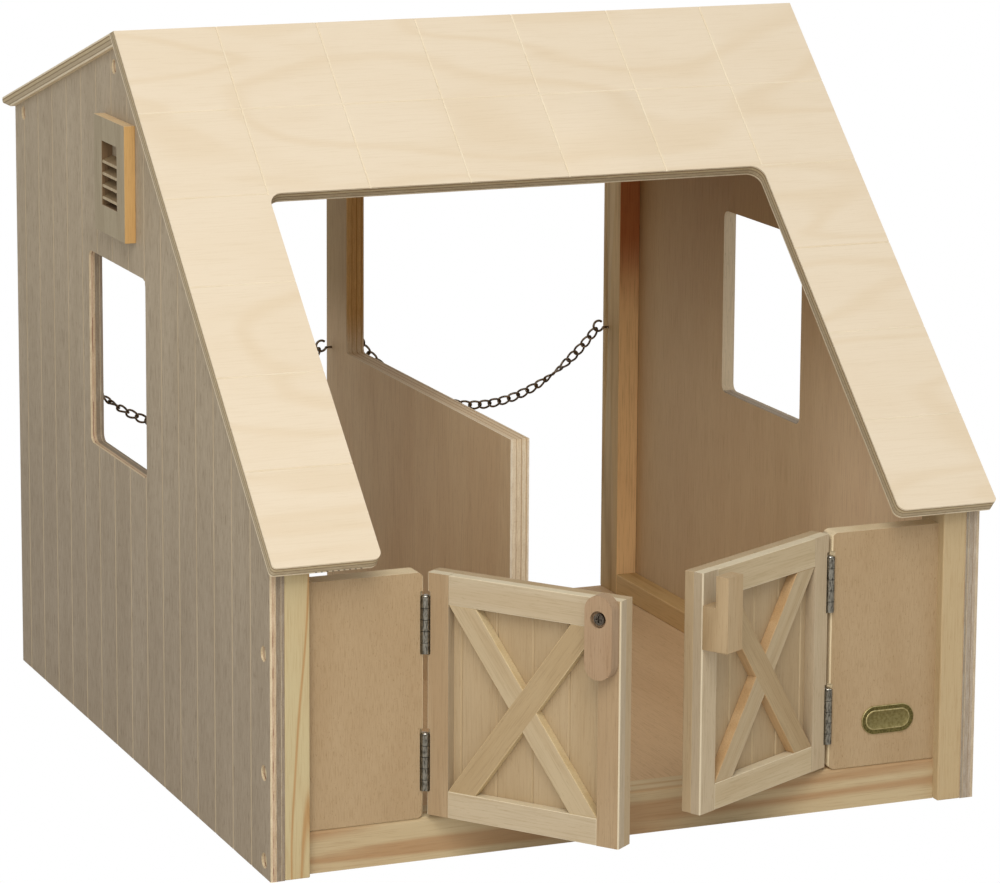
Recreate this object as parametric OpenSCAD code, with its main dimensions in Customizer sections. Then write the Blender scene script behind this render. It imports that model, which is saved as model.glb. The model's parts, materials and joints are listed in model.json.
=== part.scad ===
// Toy stable barn for model horses: plywood walls with an open front slope,
// two braced half doors on butt hinges, a turning wooden latch, louvred vents,
// an L-shaped stall divider and two stall chains hung on screw hooks.
// Millimetres. +Z is up, -Y is the front. The origin lies on the ground under
// the middle of the walls' footprint.

/* [Barn] */
// Distance across the outer faces of the two side walls
barn_width = 414; // [396:1:440]
// Distance from the front edge to the back edge of a side wall
barn_depth = 466; // [450:1:490]
// Thickness of the side walls' plywood
wall_t = 8; // [7:0.5:10]
// Thickness of the floor board
floor_t = 12; // [9:0.5:14]
// Distance of the first siding groove behind the wall's front edge
groove_start = 30.5; // [26:0.5:34]
// Spacing of the siding grooves
groove_pitch = 29.7; // [24:0.1:36]
// Width of a groove at the surface
groove_w = 1.6; // [1:0.1:2]
// Depth of a groove
groove_d = 0.8; // [0.5:0.1:1.2]

/* [Roof] */
// Distance of the ridge behind the walls' front edges
ridge_y = 252; // [246:1:258]
// Height of the ridge above the ground
ridge_z = 418; // [410:1:426]
// Slope of the long front board in degrees
front_pitch = 42.8; // [42:0.1:44]
// Slope of the short rear board in degrees
rear_pitch = 16.1; // [14:0.1:18]
// Thickness of the roof boards
roof_t = 8; // [7:0.5:10]
// How far the roof stands out past each side wall
side_overhang = 3; // [2:0.5:6]
// Length of the front board along its slope
front_roof_l = 362.4; // [356:0.4:372]
// How far the rear board reaches past the back of the walls
rear_overhang = 18; // [12:1:24]
// Shingle columns across the roof
shingle_cols = 7; // [5:1:9]
// Shingle rows down the front board
front_rows = 6; // [5:1:8]
// Shingle rows down the rear board
rear_rows = 4; // [3:1:5]
// Width of the leg of roof left on each side of the cut-out
roof_leg_w = 60; // [56:1:66]
// Length of roof left between the ridge and the cut-out
roof_head_l = 120.8; // [110:0.4:130]
// Radius of the cut-out's inner corners
cutout_r = 8; // [4:1:12]
// Radius of the outer corners of the roof legs
leg_corner_r = 5; // [3:1:8]
// Width of a scored shingle line at the surface
line_w = 1.2; // [0.8:0.1:1.6]
// Depth of a scored shingle line
line_d = 0.6; // [0.4:0.1:1]

/* [Windows and vents] */
// Width of a window
window_w = 107.5; // [96:0.5:116]
// Height of a window
window_h = 113.5; // [100:0.5:116]
// Distance of a window's middle behind the walls' front edges
window_y = 261; // [254:1:266]
// Height of a window's sill above the ground
window_z = 170.5; // [165:0.5:180]
// Corner radius of a window
window_r = 5; // [3:0.5:8]
// Width of a vent block
vent_w = 57; // [50:0.5:62]
// Height of a vent block
vent_h = 66; // [62:0.5:70]
// Thickness of a vent block
vent_t = 6.5; // [5.5:0.5:8]
// How far a vent block's top lies below the peak of the walls
vent_drop = 41; // [38:0.5:44]
// Width of the louvred slot in a vent block
slot_w = 28; // [24:0.5:34]
// Height of the wood below the louvred slot
slot_sill = 16; // [14:0.5:18]
// Number of louvre slats
slats = 4; // [3:1:4]
// Spacing of the slats
slat_pitch = 6.9; // [6.4:0.1:7.4]
// Upright thickness of a slat
slat_t = 1.6; // [1.2:0.1:2]
// How far a slat falls from back to front
slat_drop = 2.6; // [2:0.1:3.2]
// Clear height above the top slat
slot_head = 6.1; // [4:0.1:7]

/* [Posts and rails] */
// Width of a corner post, across the barn
post_w = 14; // [12:0.5:17]
// Depth of a corner post, front to back
post_d = 26; // [22:0.5:30]
// How far the sill, panels and doors lie behind the posts' front faces
front_recess = 6; // [4:0.5:8]
// Height of the front sill
sill_h = 23.5; // [20:0.5:27]
// Radius of the sill's upper front edge
sill_r = 2.5; // [1.5:0.5:4]
// Height of a floor rail above the floor
rail_h = 13.5; // [10:0.5:18]
// Width of a floor rail
rail_w = 14; // [11:0.5:18]
// Width of the ridge beam, front to back
beam_w = 16; // [14:0.5:20]
// Height of the ridge beam's lower face below the ridge
beam_drop = 30; // [28:1:36]

/* [Stall divider] */
// Thickness of the divider board
divider_t = 11.5; // [10:0.5:14]
// Height of the divider's low part above the ground
divider_h = 187; // [170:1:195]
// Distance of the divider's front edge behind the walls' front edges
divider_y = 162; // [150:1:180]
// Width of the divider's tall rear part
divider_post_w = 36; // [30:1:42]
// Radius of the corner between the low and the tall part
divider_r = 3; // [2:0.5:6]

/* [Front panels and doors] */
// Thickness of a fixed front panel
panel_t = 12; // [11:0.5:14]
// How far the panels and doors stop below the roof's underside, at their front faces
roof_clear = 22.2; // [20:0.1:26]
// Corner radius of a panel beside the door
panel_r = 4; // [3:0.5:6]
// Clear width between the two fixed panels
doorway_w = 239; // [230:1:250]
// Gap between a panel and its door
hinge_gap = 1.9; // [1.9:0.1:2.4]
// Gap between the two closed doors
middle_gap = 3.4; // [2.6:0.1:5]
// Gap between the sill and a door
floor_gap = 2; // [1:0.5:4]
// Thickness of a door's front frame and braces
frame_t = 6; // [5.5:0.5:7]
// Thickness of a door's grooved back panel
back_t = 6; // [5.5:0.5:7]
// Width of a door stile
stile_w = 13; // [12.5:0.5:15]
// Height of a door's top rail
top_rail_h = 16; // [14:0.5:18]
// Height of a door's bottom rail
bottom_rail_h = 14.5; // [12:0.5:18]
// Length of a brace's level end cut
brace_end = 16.5; // [12:0.5:19]
// How far a brace lies below the face of the frame
brace_inset = 0.3; // [0.1:0.1:0.6]
// Distance of the first board groove from a door's hinge edge
board_start = 17.6; // [15:0.1:20]
// Spacing of the board grooves in a door
board_pitch = 21.7; // [18:0.1:26]
// Radius of the arris beside a hinge
arris_r = 1; // [0.6:0.1:1.6]
// How far the left door stands open
left_door_open = 53; // [20:0.5:90]
// How far the right door stands open
right_door_open = 28.5; // [20:0.5:90]

/* [Hinges] */
// Length of a hinge
hinge_l = 31; // [28:0.5:36]
// Distance from the middle of a hinge to the nearer end of its door
hinge_in = 28.5; // [27:0.5:32]
// Number of knuckles in a hinge
knuckles = 5; // [3:2:7]
// Radius of a hinge knuckle
knuckle_r = 2.5; // [2.2:0.1:2.7]
// Clearance round a hinge's barrel in the notches of its door and panel
barrel_gap = 0.4; // [0.3:0.1:0.6]
// Radius of a hinge pin
pin_r = 1; // [0.8:0.05:1.2]
// How far a hinge pin lies in front of the door faces
pin_ahead = 0.2; // [0:0.1:0.6]
// Thickness of a hinge leaf
leaf_t = 0.8; // [0.7:0.05:0.85]
// Distance from a hinge pin to the far edge of a leaf
leaf_w = 9; // [8.2:0.1:10]
// Distance of the hinge screws behind the pin
hinge_screw_y = 5.2; // [5:0.1:5.6]
// Distance of a hinge screw from the middle of its hinge
hinge_screw_z = 9.3; // [8:0.1:10.5]
// Length of a hinge screw
hinge_screw_l = 7.5; // [6:0.5:9]
// Radius of a hinge screw's shank
hinge_screw_r = 0.8; // [0.7:0.05:0.9]
// Radius of a hinge screw's countersunk head
hinge_head_r = 1.7; // [1.4:0.1:1.9]
// How far a hinge screw's countersink stops short of the leaf's back
countersink_rest = 0.1; // [0.05:0.05:0.2]

/* [Latch] */
// Length of the latch arm
arm_l = 44.5; // [40:0.5:48]
// Width of the latch arm
arm_w = 16; // [14:0.5:17]
// Thickness of the latch arm
arm_t = 7.5; // [6:0.5:9]
// Distance of the latch screw from the arm's upper end
arm_head = 12.5; // [10:0.5:14]
// Distance of the latch screw from the door's free edge
latch_in = 9; // [8.5:0.1:10]
// Distance of the latch screw below the door's top
latch_down = 9; // [8:0.5:11]
// Radius of the latch screw's shank
latch_screw_r = 1.8; // [1.4:0.1:2.2]
// Length of the latch screw's shank
latch_screw_l = 13.5; // [12:0.5:14]
// Radius of the latch screw's head
latch_head_r = 3.1; // [2.7:0.1:3.6]
// Thickness of the latch screw's head
latch_head_t = 1.8; // [1.4:0.1:2.2]
// Width of the cross recess in the latch screw's head
recess_w = 0.7; // [0.5:0.1:0.9]
// Depth of the cross recess in the latch screw's head
recess_d = 1; // [0.8:0.1:1.2]
// Radius of the counterbore in the latch arm
latch_bore_r = 4.5; // [4:0.1:5.5]
// Depth of the counterbore in the latch arm
latch_bore_d = 2.6; // [2.2:0.1:3.4]
// Height of the latch keeper
keeper_h = 41; // [34:0.5:48]
// Thickness of the keeper's lip
keeper_lip = 8; // [6:0.5:10]

/* [Stall chains] */
// Height of the hooks' rings above the ground
hook_z = 187.5; // [176:0.5:196]
// Distance of the hooks from the back edges of the walls
hook_in = 9; // [7:0.5:14]
// Radius of a hook's ring, to the middle of its wire
hook_r = 3.4; // [3.2:0.1:4]
// Radius of a hook's wire
hook_wire_r = 0.75; // [0.6:0.05:0.85]
// Distance of a hook ring's middle from the wood
hook_out = 7; // [6.4:0.1:9]
// Depth of a hook's shank in the wood
hook_shank = 5; // [4:0.1:5.4]
// How far below the middle of its ring, in degrees, a hook's wire leaves the ring
hook_open = 20; // [15:1:30]
// How far a hook's wire runs round its ring, in degrees
hook_turn = 290; // [270:5:300]
// Links in each chain
links = 28; // [26:1:31]
// Inside length of a link
link_l = 7; // [6.8:0.05:7.2]
// Inside width of a link
link_w = 3.4; // [3.2:0.1:4]
// Radius of a link's wire
link_wire_r = 0.65; // [0.5:0.05:0.7]

/* [Fixing screws] */
// Distance of the front screws behind the walls' front edges
screw_in = 10; // [8:0.5:12]
// Heights of the front screws above the ground
screw_heights = [9, 56.5, 120.5];
// Distance of the rear screw from the back edge of the wall
rear_screw_in = 18; // [14:0.5:21]
// Depth of the rear screw below the roof
rear_screw_drop = 7; // [6:0.5:12]
// Depth of the ridge beam's screw below the peak of the walls
peak_screw_drop = 12.5; // [11:0.5:14]
// Radius of a plug and its counterbore
plug_r = 4.2; // [3.8:0.1:4.8]
// Thickness of a plug
plug_t = 2.5; // [2:0.1:3]
// How far a plug lies below the wall's surface
plug_inset = 0.8; // [0.4:0.1:1.2]
// Radius of a fixing screw's head
screw_head_r = 3.2; // [2.8:0.1:3.6]
// Thickness of a fixing screw's head
screw_head_t = 1.6; // [1.2:0.1:2]
// Radius of a fixing screw's shank
screw_r = 1.6; // [1.2:0.1:2]
// Length of a fixing screw's shank
screw_l = 14; // [10:0.5:16]

/* [Hidden] */
$fn = 48;
// Clearance round a pin, shank or plug in its hole
fit = 0.05;
// Gap between faces that slide or swing past each other
gap = 0.3;
// Slack between two links, and between a hook and its end link
slack = 0.2;
// Oversize of cutting shapes
cut = 1;

front = -barn_depth / 2;
wall_out = barn_width / 2;
wall_in = wall_out - wall_t;
post_in = wall_in - post_w;
roof_half = wall_out + side_overhang;

// Roof profile, with d counted back from the walls' front edges
front_sink = roof_t / cos(front_pitch);
rear_sink = roof_t / cos(rear_pitch);
function front_under(d) = ridge_z - (ridge_y - d) * tan(front_pitch) - front_sink;
function rear_top(d) = ridge_z - (d - ridge_y) * tan(rear_pitch);
function rear_under(d) = rear_top(d) - rear_sink;
peak_d = ridge_y + (front_sink - rear_sink) / (tan(front_pitch) + tan(rear_pitch));
peak_z = rear_under(peak_d);
// Where the front board's bevelled end meets the rear board's top face
lap = roof_t / sin(front_pitch + rear_pitch);
lap_d = ridge_y + lap * cos(rear_pitch);
lap_z = ridge_z - lap * sin(rear_pitch);
rear_tip = barn_depth + rear_overhang;
rear_level = rear_under(barn_depth);
nose_r = (rear_top(rear_tip) - rear_level) / 2;
cutout_half = roof_half - roof_leg_w;
shingle_w = 2 * roof_half / shingle_cols;
front_shingle_l = front_roof_l / front_rows;
rear_roof_l = (rear_tip - ridge_y) / cos(rear_pitch);
rear_shingle_l = rear_roof_l / rear_rows;

// Louvres
vent_z = peak_z - vent_drop - vent_h;
slot_z = vent_z + slot_sill;
slot_h = slats * slat_pitch + slat_drop + slot_head;

// Doorway
face_y = front + front_recess;
pin_y = face_y - pin_ahead;
pin_x = doorway_w / 2 - hinge_gap / 2;
panel_top = front_under(front_recess) - roof_clear;
door_bottom = sill_h + floor_gap;
door_h = panel_top - door_bottom;
door_x0 = hinge_gap / 2;
door_x1 = pin_x - middle_gap / 2;
door_w = door_x1 - door_x0;
back_y = pin_ahead + frame_t;
frame_x0 = door_x0 + stile_w;
frame_w = door_w - 2 * stile_w;
frame_z0 = door_bottom + bottom_rail_h;
frame_h = door_h - bottom_rail_h - top_rail_h;
hinge_heights = [door_bottom + hinge_in, panel_top - hinge_in];
screw_steps = [-hinge_screw_z, hinge_screw_z];
knuckle_l = hinge_l / knuckles;
hinge_head_t = leaf_t - countersink_rest;

// Latch
latch_x = door_x1 - latch_in;
latch_z = panel_top - latch_down;
arm_back = pin_ahead - gap;
arm_front = arm_back - arm_t;
bore_floor = arm_front + latch_bore_d;
recess_l = 1.2 * latch_head_r;
keeper_floor = latch_z - arm_w / 2 - gap;
keeper_slot = arm_t + 3 * gap;

// Stall chains: each hangs in the catenary of its own length
hook_y = barn_depth / 2 - hook_in;
shank_z = hook_z - hook_r * sin(hook_open);
link_pitch = link_l - slack;
end_reach = link_l / 2 - hook_wire_r - slack;
chain_l = 2 * end_reach + (links - 1) * link_pitch;
hook_span = post_in - divider_t / 2 - 2 * hook_out;
chain_turn = links % 2 == 0 ? 90 : 180;
function sinh_of(x) = (exp(x) - exp(-x)) / 2;
// Catenary parameter for a span and a length, by halving the bracket
function catenary(span, len, lo, hi, n = 40) =
    n == 0 ? (lo + hi) / 2
    : let (a = (lo + hi) / 2)
      2 * a * sinh_of(span / (2 * a)) > len
      ? catenary(span, len, a, hi, n - 1)
      : catenary(span, len, lo, a, n - 1);
// The chain leaves each ring at its own slope, so span and slope settle together
function hang_angle(n, angle = 50) =
    n == 0 ? angle
    : let (span = hook_span - 2 * hook_r * cos(angle),
           a = catenary(span, chain_l, span / 8, span * 8))
      hang_angle(n - 1, atan(sinh_of(span / (2 * a))));
chain_angle = hang_angle(8);
chain_span = hook_span - 2 * hook_r * cos(chain_angle);
chain_a = catenary(chain_span, chain_l, chain_span / 8, chain_span * 8);
chain_end_z = hook_z - hook_r * sin(chain_angle);
chain_low_z = chain_end_z - (sqrt(pow(chain_a, 2) + pow(chain_l / 2, 2)) - chain_a);
chain_mid_x = divider_t / 2 + hook_out + hook_span / 2;

// Fixing screws, as distance behind the front edge and height, on each wall
screw_spots = concat([for (z = screw_heights) [screw_in, z]],
                     [[barn_depth - rear_screw_in,
                       rear_under(barn_depth - rear_screw_in) - rear_screw_drop],
                      [peak_d + beam_w / 2, peak_z - peak_screw_drop]]);
plug_floor = plug_inset + plug_t;
screw_floor = plug_floor + screw_head_t;

// ---------- helpers ----------

// Extrudes a profile drawn in (distance behind the front, height) from x0 to x1
module across(x0, x1) {
    translate([x0, front, 0]) rotate([90, 0, 90]) linear_extrude(x1 - x0) children();
}

// Rounded rectangle with its lower left corner at the origin
module round_rect(w, h, r) {
    translate([r, 0]) square([w - 2 * r, h]);
    translate([0, r]) square([w, h - 2 * r]);
    for (x = [r, w - r], y = [r, h - r]) translate([x, y]) circle(r);
}

// The sliver that rounds off a corner at the origin of the first quadrant
module corner_cut(r) {
    difference() {
        translate([-cut, -cut]) square(r + cut);
        translate([r, r]) circle(r);
    }
}

// A V-shaped cutter of the given length along +Z, sunk into a face at y = 0
module v_groove(len, w = groove_w, d = groove_d) {
    over = 0.2;
    linear_extrude(len)
        polygon([[-w / 2 * (1 + over / d), -over], [w / 2 * (1 + over / d), -over], [0, d]]);
}

// Mirrors its children to the right side of the barn
module right_side() {
    mirror([1, 0, 0]) children();
}

// ---------- walls, floor and frame ----------

module wall_outline() {
    polygon([[0, 0], [barn_depth, 0], [barn_depth, rear_level],
             [peak_d, peak_z], [0, front_under(0)]]);
}

// Screw holes on the left: a counterbore from outside and a shank hole inwards
module screw_holes() {
    for (s = screw_spots) translate([-wall_out, front + s[0], s[1]]) rotate([0, 90, 0]) {
        translate([0, 0, -cut]) cylinder(h = screw_floor + cut, r = plug_r);
        cylinder(h = screw_floor + screw_l + fit, r = screw_r + fit);
    }
}

module side_wall() {
    difference() {
        across(-wall_out, -wall_in) difference() {
            wall_outline();
            translate([window_y - window_w / 2, window_z])
                round_rect(window_w, window_h, window_r);
        }
        for (d = [groove_start : groove_pitch : barn_depth - groove_pitch / 2])
            translate([-wall_out, front + d, -cut]) rotate([0, 0, -90])
                v_groove(ridge_z + cut);
        screw_holes();
    }
}

module left_wall() color("#A39480") side_wall();
module right_wall() color("#A39480") right_side() side_wall();

module floor_board() color("#A98762")
    translate([-wall_in, front + post_d, 0])
        cube([2 * wall_in, barn_depth - post_d, floor_t]);

module front_sill() color("#D9BC87")
    across(-post_in, post_in) translate([front_recess, 0]) difference() {
        square([post_d - front_recess, sill_h]);
        translate([0, sill_h]) mirror([0, 1]) corner_cut(sill_r);
    }

module floor_rail()
    translate([-wall_in, front + post_d, floor_t])
        cube([rail_w, barn_depth - 2 * post_d, rail_h]);

module left_floor_rail() color("#C99F68") floor_rail();
module right_floor_rail() color("#C99F68") right_side() floor_rail();

module front_post() {
    difference() {
        across(-wall_in, -post_in)
            polygon([[0, 0], [post_d, 0], [post_d, front_under(post_d)], [0, front_under(0)]]);
        screw_holes();
    }
}

module front_left_post() color("#E0C48D") front_post();
module front_right_post() color("#E0C48D") right_side() front_post();

module rear_post() {
    near = barn_depth - post_d;
    difference() {
        across(-wall_in, -post_in)
            polygon([[near, floor_t], [barn_depth, floor_t],
                     [barn_depth, rear_level], [near, rear_under(near)]]);
        screw_holes();
        hook_hole(-post_in);
    }
}

module rear_left_post() color("#C99F68") rear_post();
module rear_right_post() color("#C99F68") right_side() rear_post();

module ridge_beam() color("#C99F68") {
    far = peak_d + beam_w;
    difference() {
        across(-wall_in, wall_in)
            polygon([[peak_d, ridge_z - beam_drop], [far, ridge_z - beam_drop],
                     [far, rear_under(far)], [peak_d, peak_z]]);
        screw_holes();
        right_side() screw_holes();
    }
}

// ---------- roof ----------

// Puts a drawing in (x, distance down the slope) on the front board's top face,
// with +Z out of the roof
module on_front_slope() {
    translate([0, front + ridge_y, ridge_z]) rotate([front_pitch, 0, 0])
        mirror([0, 1, 0]) children();
}

module on_rear_slope() {
    translate([0, front + ridge_y, ridge_z]) rotate([-rear_pitch, 0, 0]) children();
}

// A scored line along X, from x0 to x1, at y on a board's top face
module row_line(y, x0, x1) {
    translate([x0, y, 0]) rotate([0, 90, 0]) rotate([0, 0, 90]) mirror([0, 1, 0])
        v_groove(x1 - x0, line_w, line_d);
}

// A scored line down the board at x, as far as y
module column_line(x, y) {
    translate([x, -cut, 0]) rotate([-90, 0, 0]) v_groove(y + cut, line_w, line_d);
}

function column_x(k) = -roof_half + k * shingle_w;

// The lines go round the cut-out: columns that meet it end at its head, and a row
// that falls on the head is scored on the legs alone
module front_shingle_lines() {
    for (k = [1 : front_rows - 1]) {
        y = k * front_shingle_l;
        if (abs(y - roof_head_l) > line_w) row_line(y, -roof_half - cut, roof_half + cut);
        else for (side = [0, 1]) mirror([side, 0, 0]) row_line(y, cutout_half, roof_half + cut);
    }
    for (k = [1 : shingle_cols - 1]) {
        on_leg = abs(column_x(k)) > cutout_half + line_w;
        column_line(column_x(k), (on_leg ? front_roof_l : roof_head_l) + cut);
    }
}

module rear_shingle_lines() {
    for (k = [1 : rear_rows - 1]) row_line(k * rear_shingle_l, -roof_half - cut, roof_half + cut);
    for (k = [1 : shingle_cols - 1]) column_line(column_x(k), rear_roof_l + cut);
}

// Point y down the front slope and the given depth into the board
function slope_point(y, depth) =
    [ridge_y - y * cos(front_pitch) + depth * sin(front_pitch),
     ridge_z - y * sin(front_pitch) - depth * cos(front_pitch)];

// The front board's outline on its slope: a sheet with the cut-out sawn from its
// eave, and the corners of the two legs rounded
module front_outline() {
    difference() {
        translate([-roof_half, -roof_t]) square([2 * roof_half, front_roof_l + roof_t]);
        translate([-cutout_half, roof_head_l])
            round_rect(2 * cutout_half, front_roof_l, cutout_r);
        for (s = [-1, 1]) {
            translate([s * roof_half, front_roof_l]) scale([-s, -1]) corner_cut(leg_corner_r / 2);
            translate([s * cutout_half, front_roof_l]) scale([s, -1]) corner_cut(leg_corner_r);
        }
    }
}

module front_roof() color("#EAD9BA") {
    difference() {
        intersection() {
            across(-roof_half - cut, roof_half + cut)
                polygon([slope_point(front_roof_l + cut, 0), [ridge_y, ridge_z], [lap_d, lap_z],
                         [peak_d, peak_z], slope_point(front_roof_l + cut, roof_t)]);
            on_front_slope() translate([0, 0, -2 * roof_t]) linear_extrude(3 * roof_t)
                front_outline();
        }
        on_front_slope() front_shingle_lines();
    }
}

module rear_roof() color("#EAD9BA") {
    difference() {
        across(-roof_half, roof_half) difference() {
            polygon([[lap_d, lap_z], [rear_tip, rear_top(rear_tip)], [rear_tip, rear_level],
                     [barn_depth, rear_level], [peak_d, peak_z]]);
            translate([rear_tip, rear_level]) mirror([1, 0]) corner_cut(nose_r);
        }
        on_rear_slope() rear_shingle_lines();
    }
}

// ---------- divider and front panels ----------

module stall_divider() color("#C2A078") {
    near = barn_depth - divider_post_w;
    difference() {
        across(-divider_t / 2, divider_t / 2) {
            translate([divider_y, floor_t])
                square([barn_depth - divider_y, divider_h - floor_t]);
            polygon([[near, floor_t], [barn_depth, floor_t], [barn_depth, rear_level],
                     [near, rear_under(near)]]);
            translate([near, divider_h]) mirror([1, 0]) difference() {
                square(divider_r);
                translate([divider_r, divider_r]) circle(divider_r);
            }
        }
        hook_hole(-divider_t / 2, 1);
        hook_hole(divider_t / 2);
    }
}

// The left panel, its hinge edge at +X. Two profiles round it in front view and plan.
module front_panel() {
    inner = doorway_w / 2;
    w = post_in - inner;
    h = panel_top - sill_h;
    difference() {
        intersection() {
            translate([-post_in, face_y + panel_t, sill_h]) rotate([90, 0, 0])
                linear_extrude(panel_t) difference() {
                    square([w, h]);
                    translate([w, h]) scale([-1, -1]) corner_cut(panel_r);
                    translate([w, 0]) scale([-1, 1]) corner_cut(panel_r);
                }
            translate([-post_in, face_y, sill_h]) linear_extrude(h) difference() {
                square([w, panel_t]);
                translate([w, 0]) scale([-1, 1]) corner_cut(arris_r);
                translate([w, panel_t]) scale([-1, -1]) corner_cut(arris_r);
            }
        }
        translate([-pin_x, pin_y, 0]) mirror([1, 0, 0]) {
            pilot_holes();
            barrel_notches();
        }
    }
}

module left_front_panel() color("#C2A078") front_panel();
module right_front_panel() color("#C2A078") right_side() front_panel();

// ---------- louvred vents ----------

module vent_frame() {
    translate([-wall_out, front + ridge_y - vent_w / 2, vent_z]) rotate([90, 0, -90])
        mirror([1, 0, 0]) linear_extrude(vent_t) difference() {
            square([vent_w, vent_h]);
            translate([(vent_w - slot_w) / 2, slot_sill]) square([slot_w, slot_h]);
        }
}

// Slats fall towards the weather side and stop short of the block's face
module vent_slats() {
    out = vent_t - gap;
    for (k = [0 : slats - 1])
        translate([-wall_out, front + ridge_y + slot_w / 2, slot_z + slot_head / 2 + k * slat_pitch])
            rotate([90, 0, 0]) linear_extrude(slot_w)
                polygon([[0, slat_drop], [0, slat_drop + slat_t], [-out, slat_t], [-out, 0]]);
}

module left_vent_frame() color("#C8A56E") vent_frame();
module left_vent_slats() color("#B9A184") vent_slats();
module right_vent_frame() color("#C8A56E") right_side() vent_frame();
module right_vent_slats() color("#B9A184") right_side() vent_slats();

// ---------- fixing screws and plugs ----------

module wall_screws() {
    for (s = screw_spots) translate([-wall_out, front + s[0], s[1]]) rotate([0, 90, 0]) {
        translate([0, 0, plug_floor]) cylinder(h = screw_head_t, r = screw_head_r);
        translate([0, 0, plug_floor]) cylinder(h = screw_head_t + screw_l, r = screw_r);
    }
}

module wall_plugs() {
    for (s = screw_spots) translate([-wall_out + plug_inset, front + s[0], s[1]])
        rotate([0, 90, 0]) cylinder(h = plug_t, r = plug_r - fit);
}

module left_wall_screws() color("silver") wall_screws();
module right_wall_screws() color("silver") right_side() wall_screws();
module left_wall_plugs() color("#CDB58C") wall_plugs();
module right_wall_plugs() color("#CDB58C") right_side() wall_plugs();

// ---------- screw hooks and chains ----------

// Hole for a hook in a face at x, the wood lying on the given side of it
module hook_hole(x, wood = -1) {
    translate([x, hook_y, shank_z]) rotate([0, wood * 90, 0]) translate([0, 0, -cut])
        cylinder(h = hook_shank + cut + fit, r = hook_wire_r + fit);
}

// An open ring in the X-Z plane whose wire turns back into a shank along -X
module hook(x) {
    translate([x, hook_y, 0]) {
        translate([hook_out, 0, hook_z]) rotate([90, 0, 0]) rotate([0, 0, 180 + hook_open])
            rotate_extrude(angle = hook_turn) translate([hook_r, 0]) circle(hook_wire_r);
        bend = hook_out - hook_r * cos(hook_open);
        translate([bend, 0, shank_z]) sphere(hook_wire_r);
        translate([-hook_shank, 0, shank_z]) rotate([0, 90, 0])
            cylinder(h = hook_shank + bend, r = hook_wire_r);
    }
}

module left_post_hook() color("#5A4A3A") hook(-post_in);
module divider_right_hook() color("#5A4A3A") hook(divider_t / 2);
module right_post_hook() color("#5A4A3A") right_side() hook(-post_in);
module divider_left_hook() color("#5A4A3A") right_side() hook(divider_t / 2);

// One welded link, its long axis along X, lying in the X-Y plane
module link() {
    bend_r = link_w / 2 + link_wire_r;
    straight = link_l - link_w;
    for (s = [0, 180]) rotate([0, 0, s]) {
        translate([straight / 2, 0, 0]) rotate([0, 0, -90])
            rotate_extrude(angle = 180) translate([bend_r, 0]) circle(link_wire_r);
        translate([-straight / 2, bend_r, 0]) rotate([0, 90, 0])
            cylinder(h = straight, r = link_wire_r);
    }
}

// Links stand crosswise to each other, and the chain is turned evenly along its
// length, so that both end links stand across the hook rings that they loop round.
module chain() {
    for (k = [0 : links - 1]) {
        s = (k - (links - 1) / 2) * link_pitch;
        x = chain_a * ln(s / chain_a + sqrt(pow(s / chain_a, 2) + 1));
        z = sqrt(pow(chain_a, 2) + pow(s, 2)) - chain_a;
        twist = chain_turn * k / (links - 1);
        translate([chain_mid_x + x, hook_y, chain_low_z + z])
            rotate([0, -atan(s / chain_a), 0])
                rotate([(k % 2 == 0 ? 0 : 90) + twist, 0, 0]) link();
    }
}

module right_chain() color("#4A3E33") chain();
module left_chain() color("#4A3E33") right_side() chain();

// ---------- hinges ----------

// Pilot holes in the hinge edge at x = door_x0, the wood lying towards +X
module pilot_holes() {
    for (h = hinge_heights, s = screw_steps) translate([door_x0 - cut, hinge_screw_y, h + s])
        rotate([0, 90, 0]) cylinder(h = hinge_screw_l + cut + fit, r = hinge_screw_r + fit);
}

// Notches that the two barrels lie in, round the pin at the origin
module barrel_notches() {
    notch_r = knuckle_r + barrel_gap;
    for (h = hinge_heights) translate([0, 0, h - hinge_l / 2 - barrel_gap])
        cylinder(h = hinge_l + knuckle_r + 2 * barrel_gap, r = notch_r);
}

// A leaf on the face at x = door_x0 round the pin at the origin. Even knuckles,
// counted from 0 at the bottom, belong to the leaf when parity is 0.
module leaf(height, parity) {
    difference() {
        union() {
            translate([door_x0 - leaf_t, 0, height - hinge_l / 2])
                cube([leaf_t, leaf_w, hinge_l]);
            translate([0, 0, height - hinge_l / 2]) own_knuckles(parity, knuckle_r, gap / 2);
        }
        translate([0, 0, height - hinge_l / 2]) {
            own_knuckles(1 - parity, knuckle_r + gap, -gap / 2);
            translate([0, 0, -cut]) cylinder(h = hinge_l + 2 * cut, r = pin_r + fit);
        }
        for (s = screw_steps) translate([door_x0 - leaf_t, hinge_screw_y, height + s])
            rotate([0, 90, 0]) {
                translate([0, 0, -cut]) cylinder(h = leaf_t + 2 * cut, r = hinge_screw_r + fit);
                cylinder(h = hinge_head_t, r1 = hinge_head_r + fit, r2 = hinge_screw_r + fit);
            }
    }
}

// Cylinders for every second knuckle, drawn in or out by the trim at each end
module own_knuckles(parity, r, trim) {
    for (k = [parity : 2 : knuckles - 1]) translate([0, 0, k * knuckle_l + trim])
        cylinder(h = knuckle_l - 2 * trim, r = r);
}

module panel_leaf(height) translate([-pin_x, pin_y, 0]) mirror([1, 0, 0]) leaf(height, 0);

module left_upper_panel_leaf() color("silver") panel_leaf(hinge_heights[1]);
module left_lower_panel_leaf() color("silver") panel_leaf(hinge_heights[0]);
module right_upper_panel_leaf() color("silver") right_side() panel_leaf(hinge_heights[1]);
module right_lower_panel_leaf() color("silver") right_side() panel_leaf(hinge_heights[0]);

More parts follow.
